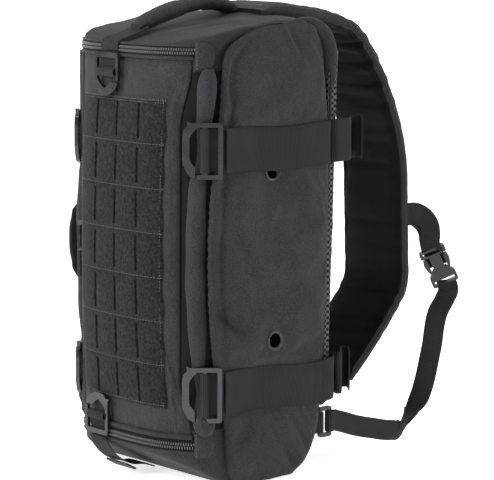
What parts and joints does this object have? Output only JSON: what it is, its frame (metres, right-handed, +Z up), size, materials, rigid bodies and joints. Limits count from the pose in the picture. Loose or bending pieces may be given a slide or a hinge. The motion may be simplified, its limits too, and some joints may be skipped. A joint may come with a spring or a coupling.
{
  "type": "trauma backpack",
  "caption": "Upright padded sling pack with one wide shoulder strap, a hinged clamshell front with an attachment-loop field, and hooked compression straps.",
  "frame": {"origin": "centre of the flat base, on the surface the pack stands on", "axes": "+Z up, -Y towards the front door, +X to the right of someone facing the front"},
  "size_m": [0.2885, 0.487, 0.56],
  "materials": {
    "pack_fabric": "matt woven nylon",
    "loop_field": "brushed loop pile",
    "webbing": "tight ribbed webbing",
    "strap_padding": "matt padded fabric",
    "spacer_mesh": "open air mesh",
    "lining": "matt lining",
    "elastic": "ribbed elastic",
    "board": "satin sheet",
    "moulded_plastic": "moulded satin",
    "hook_metal": "satin coated steel"
  },
  "bodies": {
    "pack": {"main_shell": "pack_fabric", "side_panel_right": "pack_fabric", "side_panel_left": "pack_fabric", "front_gusset_right": "pack_fabric", "front_gusset_left": "pack_fabric", "back_panel": "spacer_mesh", "frame_sheet": "board", "organiser_panel": "lining", "elastic_loops_upper": "elastic", "elastic_loops_middle": "elastic", "elastic_loops_lower": "elastic", "upper_right_strap": "webbing", "upper_left_strap": "webbing", "lower_right_strap": "webbing", "lower_left_strap": "webbing", "top_strap": "webbing", "left_zip_chain": "moulded_plastic", "top_zip_chain": "moulded_plastic", "bottom_zip_chain": "moulded_plastic", "bottom_strap": "webbing", "bottom_strap_slider": "moulded_plastic", "shoulder_strap": "strap_padding", "shoulder_strap_webbing": "webbing", "ladder_lock_tab": "webbing", "stabiliser_tab": "webbing", "stabiliser_loop": "webbing", "stabiliser_webbing": "webbing", "buckle_socket": "moulded_plastic", "buckle_plug": "moulded_plastic", "buckle_loop": "webbing"},
    "door": {"front_panel": "pack_fabric", "loop_panel": "loop_field", "door_pocket": "spacer_mesh", "top_anchor_tab": "webbing", "bottom_anchor_tab": "webbing"},
    "top_hook": {"top_hook": "hook_metal", "top_hook_webbing": "webbing"},
    "bottom_hook": {"bottom_hook": "hook_metal", "bottom_hook_webbing": "webbing"},
    "upper_right_hook": {"upper_right_hook": "hook_metal", "upper_right_hook_webbing": "webbing"},
    "upper_left_hook": {"upper_left_hook": "hook_metal", "upper_left_hook_webbing": "webbing"},
    "lower_right_hook": {"lower_right_hook": "hook_metal", "lower_right_hook_webbing": "webbing"},
    "lower_left_hook": {"lower_left_hook": "hook_metal", "lower_left_hook_webbing": "webbing"},
    "top_handle": {"top_handle": "pack_fabric"},
    "side_handle": {"side_handle": "webbing"},
    "upper_zip_slider": {"upper_zip_slider": "hook_metal"},
    "upper_zip_pull": {"upper_zip_pull": "webbing"},
    "lower_zip_slider": {"lower_zip_slider": "hook_metal"},
    "lower_zip_pull": {"lower_zip_pull": "webbing"},
    "stabiliser_ring": {"stabiliser_ring": "moulded_plastic"},
    "ladder_lock": {"ladder_lock": "moulded_plastic"},
    "buckle_prong_near": {"buckle_prong_near": "moulded_plastic"},
    "buckle_prong_far": {"buckle_prong_far": "moulded_plastic"}
  },
  "joints": [
    {"name": "door_hinge", "type": "hinge", "parent": "pack", "child": "door", "pos_m": [0.0915, -0.098, 0.277], "axis": [0, 0, 1], "range_deg": [0, 95]},
    {"name": "top_hook_swing", "type": "hinge", "parent": "door", "child": "top_hook", "pos_m": [-0.014, -0.1165, 0.5003], "axis": [-1, 0, 0], "range_deg": [0, 50]},
    {"name": "bottom_hook_swing", "type": "hinge", "parent": "door", "child": "bottom_hook", "pos_m": [-0.036, -0.1161, 0.0447], "axis": [1, 0, 0], "range_deg": [0, 60]},
    {"name": "upper_right_hook_swing", "type": "hinge", "parent": "pack", "child": "upper_right_hook", "pos_m": [0.12712, -0.06128, 0.3915], "axis": [0, 0, 1], "range_deg": [0, 60]},
    {"name": "upper_left_hook_swing", "type": "hinge", "parent": "pack", "child": "upper_left_hook", "pos_m": [-0.12712, -0.06128, 0.3915], "axis": [0, 0, -1], "range_deg": [0, 60]},
    {"name": "lower_right_hook_swing", "type": "hinge", "parent": "pack", "child": "lower_right_hook", "pos_m": [0.12712, -0.06128, 0.1115], "axis": [0, 0, 1], "range_deg": [0, 60]},
    {"name": "lower_left_hook_swing", "type": "hinge", "parent": "pack", "child": "lower_left_hook", "pos_m": [-0.12712, -0.06128, 0.1115], "axis": [0, 0, -1], "range_deg": [0, 60]},
    {"name": "top_handle_rock", "type": "hinge", "parent": "pack", "child": "top_handle", "pos_m": [0, -0.082, 0.529], "axis": [0, 0.9943, 0.1063], "range_deg": [-15, 15]},
    {"name": "side_handle_swing", "type": "hinge", "parent": "pack", "child": "side_handle", "pos_m": [-0.126, -0.062, 0.262], "axis": [0, 0, 1], "range_deg": [-20, 20]},
    {"name": "upper_zip_slide", "type": "slide", "parent": "pack", "child": "upper_zip_slider", "axis": [0, 0, 1], "range_m": [0, 0.06]},
    {"name": "lower_zip_slide", "type": "slide", "parent": "pack", "child": "lower_zip_slider", "axis": [0, 0, -1], "range_m": [0, 0.06]},
    {"name": "upper_zip_pull_swing", "type": "hinge", "parent": "upper_zip_slider", "child": "upper_zip_pull", "pos_m": [-0.0966, -0.0993, 0.2876], "axis": [-1, 0, 0], "range_deg": [0, 90]},
    {"name": "lower_zip_pull_swing", "type": "hinge", "parent": "lower_zip_slider", "child": "lower_zip_pull", "pos_m": [-0.0966, -0.0993, 0.2566], "axis": [-1, 0, 0], "range_deg": [0, 90]},
    {"name": "stabiliser_ring_swing", "type": "hinge", "parent": "pack", "child": "stabiliser_ring", "pos_m": [0.106, 0.1071, 0.052], "axis": [0, 0, 1], "range_deg": [-8, 8]},
    {"name": "ladder_lock_tilt", "type": "hinge", "parent": "pack", "child": "ladder_lock", "pos_m": [0, 0.129, 0.093], "axis": [1, 0, 0], "range_deg": [0, 30]},
    {"name": "near_prong_squeeze", "type": "hinge", "parent": "pack", "child": "buckle_prong_near", "pos_m": [0.08147, 0.35128, 0.21543], "axis": [0.746, -0.6565, -0.1114], "range_deg": [0, 8], "stiffness_Nm_per_rad": 0.5},
    {"name": "far_prong_squeeze", "type": "hinge", "parent": "pack", "child": "buckle_prong_far", "pos_m": [0.06496, 0.33435, 0.20461], "axis": [-0.746, 0.6565, 0.1114], "range_deg": [0, 8], "stiffness_Nm_per_rad": 0.5}
  ]
}
